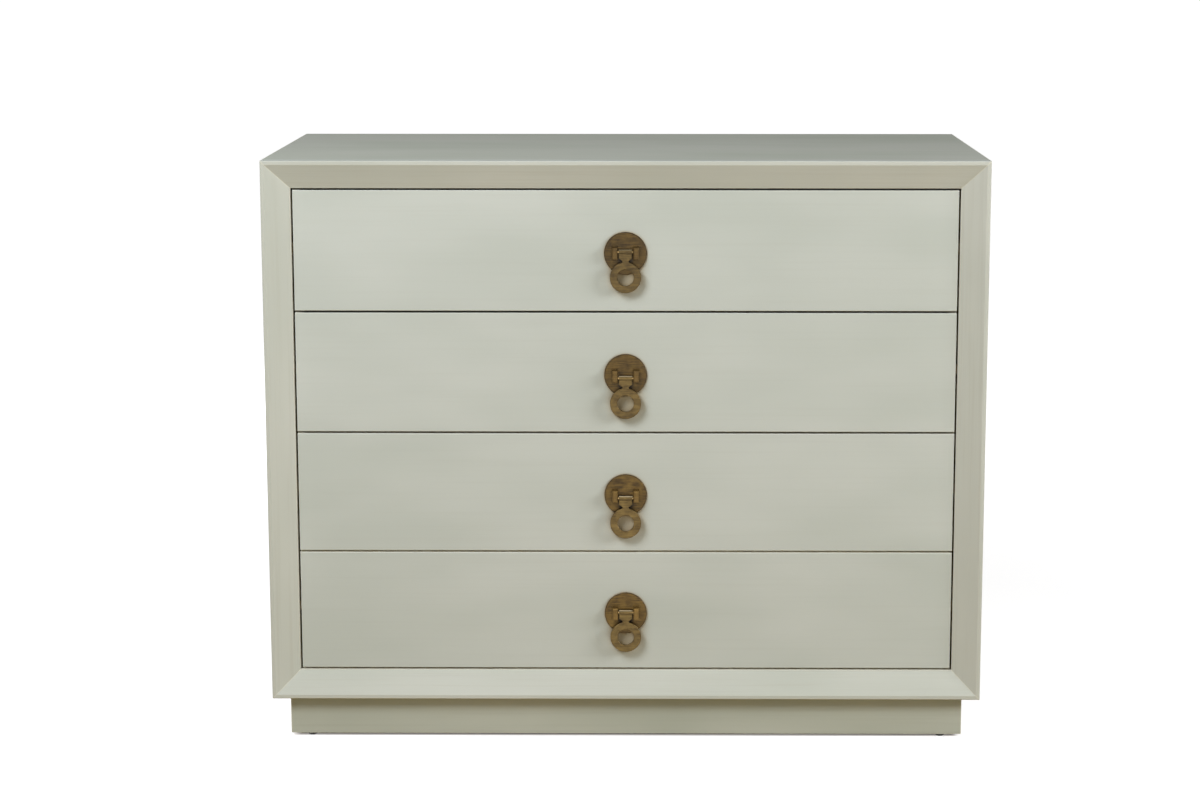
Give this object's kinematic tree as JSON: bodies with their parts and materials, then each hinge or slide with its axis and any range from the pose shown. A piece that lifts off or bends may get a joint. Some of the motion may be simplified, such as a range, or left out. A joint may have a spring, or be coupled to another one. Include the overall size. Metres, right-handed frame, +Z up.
{
  "type": "chest of drawers",
  "caption": "Painted chest of flush drawers in a mitred, bevelled front frame on a recessed plinth, each drawer on side runners with a hinged brass ring pull.",
  "frame": {"origin": "on the floor, under the middle of the case", "axes": "+Z up, -Y out of the drawer fronts, +X to the right of someone facing them"},
  "size_m": [1.067, 0.483, 0.8775],
  "materials": {
    "painted_wood": "satin paint over faint brush and grain marks",
    "drawer_wood": "clear-lacquered maple",
    "plywood": "sanded plywood",
    "antique_brass": "brushed and darkened, rubbed on the edges",
    "pin_brass": "bright drawn rod",
    "screw_steel": "zinc plated",
    "glide_plastic": "moulded"
  },
  "bodies": {
    "case": {"top_panel": "painted_wood", "left_side_panel": "painted_wood", "right_side_panel": "painted_wood", "case_bottom": "painted_wood", "frame_top_rail": "painted_wood", "frame_bottom_rail": "painted_wood", "frame_left_stile": "painted_wood", "frame_right_stile": "painted_wood", "plinth_front": "painted_wood", "plinth_back": "painted_wood", "plinth_left": "painted_wood", "plinth_right": "painted_wood", "left_runners": "drawer_wood", "right_runners": "drawer_wood", "plinth_corner_blocks": "drawer_wood", "back_panel": "plywood", "mitre_splines": "plywood", "runner_screws": "screw_steel", "back_panel_screws": "screw_steel", "plinth_screws": "screw_steel", "glides": "glide_plastic"},
    "drawer_1": {"drawer_1_front": "painted_wood", "drawer_1_left_side": "drawer_wood", "drawer_1_right_side": "drawer_wood", "drawer_1_back": "drawer_wood", "drawer_1_bottom": "plywood", "drawer_1_pull_backplate": "antique_brass", "drawer_1_pull_pin": "pin_brass", "drawer_1_pull_screws": "screw_steel"},
    "ring_1": {"drawer_1_pull_ring": "antique_brass"},
    "drawer_2": {"drawer_2_front": "painted_wood", "drawer_2_left_side": "drawer_wood", "drawer_2_right_side": "drawer_wood", "drawer_2_back": "drawer_wood", "drawer_2_bottom": "plywood", "drawer_2_pull_backplate": "antique_brass", "drawer_2_pull_pin": "pin_brass", "drawer_2_pull_screws": "screw_steel"},
    "ring_2": {"drawer_2_pull_ring": "antique_brass"},
    "drawer_3": {"drawer_3_front": "painted_wood", "drawer_3_left_side": "drawer_wood", "drawer_3_right_side": "drawer_wood", "drawer_3_back": "drawer_wood", "drawer_3_bottom": "plywood", "drawer_3_pull_backplate": "antique_brass", "drawer_3_pull_pin": "pin_brass", "drawer_3_pull_screws": "screw_steel"},
    "ring_3": {"drawer_3_pull_ring": "antique_brass"},
    "drawer_4": {"drawer_4_front": "painted_wood", "drawer_4_left_side": "drawer_wood", "drawer_4_right_side": "drawer_wood", "drawer_4_back": "drawer_wood", "drawer_4_bottom": "plywood", "drawer_4_pull_backplate": "antique_brass", "drawer_4_pull_pin": "pin_brass", "drawer_4_pull_screws": "screw_steel"},
    "ring_4": {"drawer_4_pull_ring": "antique_brass"}
  },
  "joints": [
    {"name": "drawer_1_slide", "type": "slide", "parent": "case", "child": "drawer_1", "axis": [0, -1, 0], "range_m": [0, 0.3]},
    {"name": "ring_1_hinge", "type": "hinge", "parent": "drawer_1", "child": "ring_1", "pos_m": [0, -0.2355, 0.7432], "axis": [-1, 0, 0], "range_deg": [-6, 176]},
    {"name": "drawer_2_slide", "type": "slide", "parent": "case", "child": "drawer_2", "axis": [0, -1, 0], "range_m": [0, 0.3]},
    {"name": "ring_2_hinge", "type": "hinge", "parent": "drawer_2", "child": "ring_2", "pos_m": [0, -0.2355, 0.5548], "axis": [-1, 0, 0], "range_deg": [-6, 176]},
    {"name": "drawer_3_slide", "type": "slide", "parent": "case", "child": "drawer_3", "axis": [0, -1, 0], "range_m": [0, 0.3]},
    {"name": "ring_3_hinge", "type": "hinge", "parent": "drawer_3", "child": "ring_3", "pos_m": [0, -0.2355, 0.3728], "axis": [-1, 0, 0], "range_deg": [-6, 176]},
    {"name": "drawer_4_slide", "type": "slide", "parent": "case", "child": "drawer_4", "axis": [0, -1, 0], "range_m": [0, 0.3]},
    {"name": "ring_4_hinge", "type": "hinge", "parent": "drawer_4", "child": "ring_4", "pos_m": [0, -0.2355, 0.1972], "axis": [-1, 0, 0], "range_deg": [-6, 176]}
  ]
}
